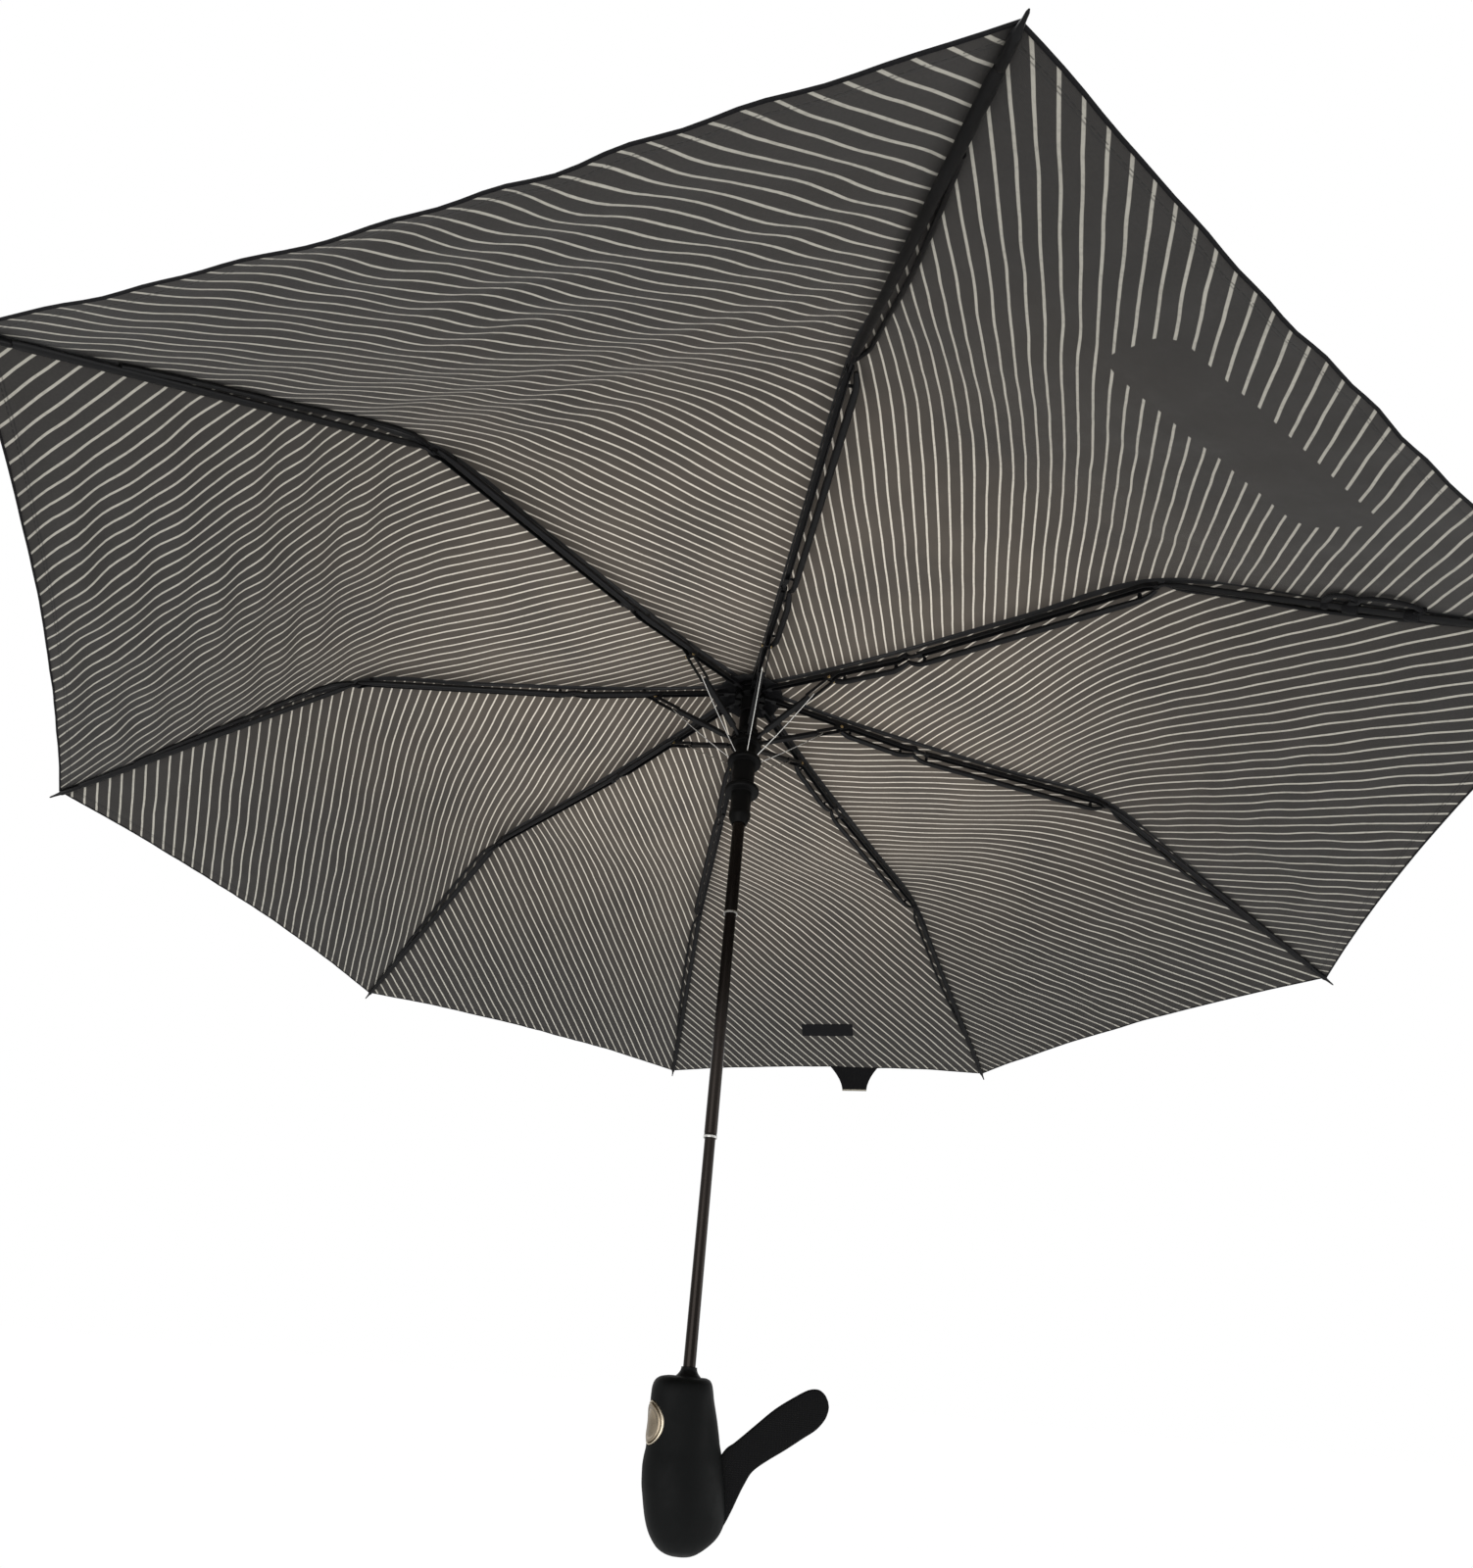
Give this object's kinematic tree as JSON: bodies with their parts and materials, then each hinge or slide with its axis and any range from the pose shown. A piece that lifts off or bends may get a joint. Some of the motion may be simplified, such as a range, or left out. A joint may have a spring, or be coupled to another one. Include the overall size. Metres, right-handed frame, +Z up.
{
  "type": "compact umbrella",
  "caption": "Open compact folding umbrella: telescoping shaft, runner with stretchers, hinged three-link ribs, striped octagonal canopy, rubber push-button grip with a wrist strap.",
  "frame": {"origin": "the middle of the grip, on the shaft's axis", "axes": "+Z up the shaft to the crown, +X along rib 1; ribs are numbered clockwise seen from above"},
  "size_m": [0.9812, 0.9812, 0.5987],
  "materials": {
    "canopy_fabric": "charcoal woven polyester with fine cream stripes, satin",
    "black_fabric": "black woven tape and patch, matte",
    "rib_steel": "black semi-gloss painted steel",
    "bright_steel": "bare bright wire",
    "shaft_steel": "dark gunmetal plated, semi-gloss",
    "black_plastic": "moulded black, satin",
    "grip_rubber": "soft-touch black, matte",
    "champagne_metal": "champagne plated, satin",
    "strap_webbing": "stiff black woven strap, matte"
  },
  "bodies": {
    "grip": {"grip_shell": "grip_rubber", "grip_core": "black_plastic", "grip_collar": "black_plastic", "button_bezel": "champagne_metal", "strap_pin": "bright_steel", "lower_tube": "shaft_steel", "button_spring": "bright_steel"},
    "middle_shaft": {"middle_tube": "shaft_steel"},
    "upper_shaft": {"upper_tube": "shaft_steel", "crown": "black_plastic", "crown_wire": "bright_steel", "crown_rosette": "black_fabric", "top_cap": "black_plastic", "main_spring": "bright_steel", "tie_strap": "black_fabric", "canopy_gore_1": "canopy_fabric", "canopy_gore_2": "canopy_fabric", "canopy_gore_3": "canopy_fabric", "canopy_gore_4": "canopy_fabric", "canopy_gore_5": "canopy_fabric", "canopy_gore_6": "canopy_fabric", "canopy_gore_7": "canopy_fabric", "canopy_gore_8": "canopy_fabric"},
    "runner": {"runner": "black_plastic", "runner_wire": "bright_steel"},
    "button": {"release_button": "champagne_metal"},
    "strap": {"wrist_strap": "strap_webbing"},
    "top_link_1": {"top_rib_1": "rib_steel"},
    "stretcher_link_1": {"stretcher_1": "rib_steel"},
    "middle_link_1": {"middle_rib_1": "rib_steel"},
    "outer_link_1": {"outer_rib_1": "rib_steel"},
    "top_link_2": {"top_rib_2": "rib_steel"},
    "stretcher_link_2": {"stretcher_2": "rib_steel"},
    "middle_link_2": {"middle_rib_2": "rib_steel"},
    "outer_link_2": {"outer_rib_2": "rib_steel"},
    "top_link_3": {"top_rib_3": "rib_steel"},
    "stretcher_link_3": {"stretcher_3": "rib_steel"},
    "middle_link_3": {"middle_rib_3": "rib_steel"},
    "outer_link_3": {"outer_rib_3": "rib_steel"},
    "top_link_4": {"top_rib_4": "rib_steel"},
    "stretcher_link_4": {"stretcher_4": "rib_steel"},
    "middle_link_4": {"middle_rib_4": "rib_steel"},
    "outer_link_4": {"outer_rib_4": "rib_steel"},
    "top_link_5": {"top_rib_5": "rib_steel"},
    "stretcher_link_5": {"stretcher_5": "rib_steel"},
    "middle_link_5": {"middle_rib_5": "rib_steel"},
    "outer_link_5": {"outer_rib_5": "rib_steel"},
    "top_link_6": {"top_rib_6": "rib_steel"},
    "stretcher_link_6": {"stretcher_6": "rib_steel"},
    "middle_link_6": {"middle_rib_6": "rib_steel"},
    "outer_link_6": {"outer_rib_6": "rib_steel"},
    "top_link_7": {"top_rib_7": "rib_steel"},
    "stretcher_link_7": {"stretcher_7": "rib_steel"},
    "middle_link_7": {"middle_rib_7": "rib_steel"},
    "outer_link_7": {"outer_rib_7": "rib_steel"},
    "top_link_8": {"top_rib_8": "rib_steel"},
    "stretcher_link_8": {"stretcher_8": "rib_steel"},
    "middle_link_8": {"middle_rib_8": "rib_steel"},
    "outer_link_8": {"outer_rib_8": "rib_steel"}
  },
  "joints": [
    {"name": "middle_shaft_slide", "type": "slide", "parent": "grip", "child": "middle_shaft", "axis": [0, 0, -1], "range_m": [0, 0.1182]},
    {"name": "shaft_collapse", "type": "slide", "parent": "middle_shaft", "child": "upper_shaft", "axis": [0, 0, -1], "range_m": [0, 0.142], "deforming": ["main_spring"]},
    {"name": "runner_slide", "type": "slide", "parent": "upper_shaft", "child": "runner", "axis": [0, 0, -1], "range_m": [0, 0.1], "deforming": ["canopy_gore_1", "canopy_gore_2", "canopy_gore_3", "canopy_gore_4", "canopy_gore_5", "canopy_gore_6", "canopy_gore_7", "canopy_gore_8", "tie_strap"]},
    {"name": "button_press", "type": "slide", "parent": "grip", "child": "button", "axis": [-0.2924, 0.9563, 0], "range_m": [0, 0.0025], "stiffness_N_per_m": 1200, "springref_m": -0.0008, "deforming": ["button_spring"]},
    {"name": "strap_swing", "type": "hinge", "parent": "grip", "child": "strap", "pos_m": [0, 0.0145, -0.02665], "axis": [1, 0, 0], "range_deg": [-105, 8]},
    {"name": "top_hinge_1", "type": "hinge", "parent": "upper_shaft", "child": "top_link_1", "pos_m": [0.0105, 0, 0.54385], "axis": [0, 1, 0], "range_deg": [0, 68.81]},
    {"name": "stretcher_hinge_1", "type": "hinge", "parent": "runner", "child": "stretcher_link_1", "pos_m": [0.0105, 0, 0.49035], "axis": [0, -1, 0], "range_deg": [0, 62.43]},
    {"name": "middle_hinge_1", "type": "hinge", "parent": "top_link_1", "child": "middle_link_1", "pos_m": [0.15, 0, 0.51285], "axis": [0, -1, 0], "range_deg": [0, 166.34]},
    {"name": "outer_hinge_1", "type": "hinge", "parent": "middle_link_1", "child": "outer_link_1", "pos_m": [0.323, 0, 0.48385], "axis": [0, 1, 0], "range_deg": [0, 141.66]},
    {"name": "top_hinge_2", "type": "hinge", "parent": "upper_shaft", "child": "top_link_2", "pos_m": [0.00743, -0.00743, 0.54385], "axis": [0.7071, 0.7071, 0], "range_deg": [0, 68.81]},
    {"name": "stretcher_hinge_2", "type": "hinge", "parent": "runner", "child": "stretcher_link_2", "pos_m": [0.00743, -0.00743, 0.49035], "axis": [-0.7071, -0.7071, 0], "range_deg": [0, 62.43]},
    {"name": "middle_hinge_2", "type": "hinge", "parent": "top_link_2", "child": "middle_link_2", "pos_m": [0.10607, -0.10607, 0.51285], "axis": [-0.7071, -0.7071, 0], "range_deg": [0, 166.34]},
    {"name": "outer_hinge_2", "type": "hinge", "parent": "middle_link_2", "child": "outer_link_2", "pos_m": [0.22839, -0.22839, 0.48385], "axis": [0.7071, 0.7071, 0], "range_deg": [0, 141.66]},
    {"name": "top_hinge_3", "type": "hinge", "parent": "upper_shaft", "child": "top_link_3", "pos_m": [0, -0.0105, 0.54385], "axis": [1, 0, 0], "range_deg": [0, 68.81]},
    {"name": "stretcher_hinge_3", "type": "hinge", "parent": "runner", "child": "stretcher_link_3", "pos_m": [0, -0.0105, 0.49035], "axis": [-1, 0, 0], "range_deg": [0, 62.43]},
    {"name": "middle_hinge_3", "type": "hinge", "parent": "top_link_3", "child": "middle_link_3", "pos_m": [0, -0.15, 0.51285], "axis": [-1, 0, 0], "range_deg": [0, 166.34]},
    {"name": "outer_hinge_3", "type": "hinge", "parent": "middle_link_3", "child": "outer_link_3", "pos_m": [0, -0.323, 0.48385], "axis": [1, 0, 0], "range_deg": [0, 141.66]},
    {"name": "top_hinge_4", "type": "hinge", "parent": "upper_shaft", "child": "top_link_4", "pos_m": [-0.00743, -0.00743, 0.54385], "axis": [0.7071, -0.7071, 0], "range_deg": [0, 68.81]},
    {"name": "stretcher_hinge_4", "type": "hinge", "parent": "runner", "child": "stretcher_link_4", "pos_m": [-0.00743, -0.00743, 0.49035], "axis": [-0.7071, 0.7071, 0], "range_deg": [0, 62.43]},
    {"name": "middle_hinge_4", "type": "hinge", "parent": "top_link_4", "child": "middle_link_4", "pos_m": [-0.10607, -0.10607, 0.51285], "axis": [-0.7071, 0.7071, 0], "range_deg": [0, 166.34]},
    {"name": "outer_hinge_4", "type": "hinge", "parent": "middle_link_4", "child": "outer_link_4", "pos_m": [-0.22839, -0.22839, 0.48385], "axis": [0.7071, -0.7071, 0], "range_deg": [0, 141.66]},
    {"name": "top_hinge_5", "type": "hinge", "parent": "upper_shaft", "child": "top_link_5", "pos_m": [-0.0105, 0, 0.54385], "axis": [0, -1, 0], "range_deg": [0, 68.81]},
    {"name": "stretcher_hinge_5", "type": "hinge", "parent": "runner", "child": "stretcher_link_5", "pos_m": [-0.0105, 0, 0.49035], "axis": [0, 1, 0], "range_deg": [0, 62.43]},
    {"name": "middle_hinge_5", "type": "hinge", "parent": "top_link_5", "child": "middle_link_5", "pos_m": [-0.15, 0, 0.51285], "axis": [0, 1, 0], "range_deg": [0, 166.34]},
    {"name": "outer_hinge_5", "type": "hinge", "parent": "middle_link_5", "child": "outer_link_5", "pos_m": [-0.323, 0, 0.48385], "axis": [0, -1, 0], "range_deg": [0, 141.66]},
    {"name": "top_hinge_6", "type": "hinge", "parent": "upper_shaft", "child": "top_link_6", "pos_m": [-0.00743, 0.00743, 0.54385], "axis": [-0.7071, -0.7071, 0], "range_deg": [0, 68.81]},
    {"name": "stretcher_hinge_6", "type": "hinge", "parent": "runner", "child": "stretcher_link_6", "pos_m": [-0.00743, 0.00743, 0.49035], "axis": [0.7071, 0.7071, 0], "range_deg": [0, 62.43]},
    {"name": "middle_hinge_6", "type": "hinge", "parent": "top_link_6", "child": "middle_link_6", "pos_m": [-0.10607, 0.10607, 0.51285], "axis": [0.7071, 0.7071, 0], "range_deg": [0, 166.34]},
    {"name": "outer_hinge_6", "type": "hinge", "parent": "middle_link_6", "child": "outer_link_6", "pos_m": [-0.22839, 0.22839, 0.48385], "axis": [-0.7071, -0.7071, 0], "range_deg": [0, 141.66]},
    {"name": "top_hinge_7", "type": "hinge", "parent": "upper_shaft", "child": "top_link_7", "pos_m": [0, 0.0105, 0.54385], "axis": [-1, 0, 0], "range_deg": [0, 68.81]},
    {"name": "stretcher_hinge_7", "type": "hinge", "parent": "runner", "child": "stretcher_link_7", "pos_m": [0, 0.0105, 0.49035], "axis": [1, 0, 0], "range_deg": [0, 62.43]},
    {"name": "middle_hinge_7", "type": "hinge", "parent": "top_link_7", "child": "middle_link_7", "pos_m": [0, 0.15, 0.51285], "axis": [1, 0, 0], "range_deg": [0, 166.34]},
    {"name": "outer_hinge_7", "type": "hinge", "parent": "middle_link_7", "child": "outer_link_7", "pos_m": [0, 0.323, 0.48385], "axis": [-1, 0, 0], "range_deg": [0, 141.66]},
    {"name": "top_hinge_8", "type": "hinge", "parent": "upper_shaft", "child": "top_link_8", "pos_m": [0.00743, 0.00743, 0.54385], "axis": [-0.7071, 0.7071, 0], "range_deg": [0, 68.81]},
    {"name": "stretcher_hinge_8", "type": "hinge", "parent": "runner", "child": "stretcher_link_8", "pos_m": [0.00743, 0.00743, 0.49035], "axis": [0.7071, -0.7071, 0], "range_deg": [0, 62.43]},
    {"name": "middle_hinge_8", "type": "hinge", "parent": "top_link_8", "child": "middle_link_8", "pos_m": [0.10607, 0.10607, 0.51285], "axis": [0.7071, -0.7071, 0], "range_deg": [0, 166.34]},
    {"name": "outer_hinge_8", "type": "hinge", "parent": "middle_link_8", "child": "outer_link_8", "pos_m": [0.22839, 0.22839, 0.48385], "axis": [-0.7071, 0.7071, 0], "range_deg": [0, 141.66]}
  ],
  "couplings": [
    {"joint": "middle_shaft_slide", "follows": "shaft_collapse", "ratio": 0.83099},
    {"joint": "top_hinge_1", "follows": "runner_slide", "rad_per_m": 12.009},
    {"joint": "stretcher_hinge_1", "follows": "runner_slide", "rad_per_m": 10.894},
    {"joint": "middle_hinge_1", "follows": "runner_slide", "rad_per_m": 29.03},
    {"joint": "outer_hinge_1", "follows": "runner_slide", "rad_per_m": 24.723},
    {"joint": "top_hinge_2", "follows": "runner_slide", "rad_per_m": 12.009},
    {"joint": "stretcher_hinge_2", "follows": "runner_slide", "rad_per_m": 10.894},
    {"joint": "middle_hinge_2", "follows": "runner_slide", "rad_per_m": 29.03},
    {"joint": "outer_hinge_2", "follows": "runner_slide", "rad_per_m": 24.723},
    {"joint": "top_hinge_3", "follows": "runner_slide", "rad_per_m": 12.009},
    {"joint": "stretcher_hinge_3", "follows": "runner_slide", "rad_per_m": 10.894},
    {"joint": "middle_hinge_3", "follows": "runner_slide", "rad_per_m": 29.03},
    {"joint": "outer_hinge_3", "follows": "runner_slide", "rad_per_m": 24.723},
    {"joint": "top_hinge_4", "follows": "runner_slide", "rad_per_m": 12.009},
    {"joint": "stretcher_hinge_4", "follows": "runner_slide", "rad_per_m": 10.894},
    {"joint": "middle_hinge_4", "follows": "runner_slide", "rad_per_m": 29.03},
    {"joint": "outer_hinge_4", "follows": "runner_slide", "rad_per_m": 24.723},
    {"joint": "top_hinge_5", "follows": "runner_slide", "rad_per_m": 12.009},
    {"joint": "stretcher_hinge_5", "follows": "runner_slide", "rad_per_m": 10.894},
    {"joint": "middle_hinge_5", "follows": "runner_slide", "rad_per_m": 29.03},
    {"joint": "outer_hinge_5", "follows": "runner_slide", "rad_per_m": 24.723},
    {"joint": "top_hinge_6", "follows": "runner_slide", "rad_per_m": 12.009},
    {"joint": "stretcher_hinge_6", "follows": "runner_slide", "rad_per_m": 10.894},
    {"joint": "middle_hinge_6", "follows": "runner_slide", "rad_per_m": 29.03},
    {"joint": "outer_hinge_6", "follows": "runner_slide", "rad_per_m": 24.723},
    {"joint": "top_hinge_7", "follows": "runner_slide", "rad_per_m": 12.009},
    {"joint": "stretcher_hinge_7", "follows": "runner_slide", "rad_per_m": 10.894},
    {"joint": "middle_hinge_7", "follows": "runner_slide", "rad_per_m": 29.03},
    {"joint": "outer_hinge_7", "follows": "runner_slide", "rad_per_m": 24.723},
    {"joint": "top_hinge_8", "follows": "runner_slide", "rad_per_m": 12.009},
    {"joint": "stretcher_hinge_8", "follows": "runner_slide", "rad_per_m": 10.894},
    {"joint": "middle_hinge_8", "follows": "runner_slide", "rad_per_m": 29.03},
    {"joint": "outer_hinge_8", "follows": "runner_slide", "rad_per_m": 24.723}
  ]
}
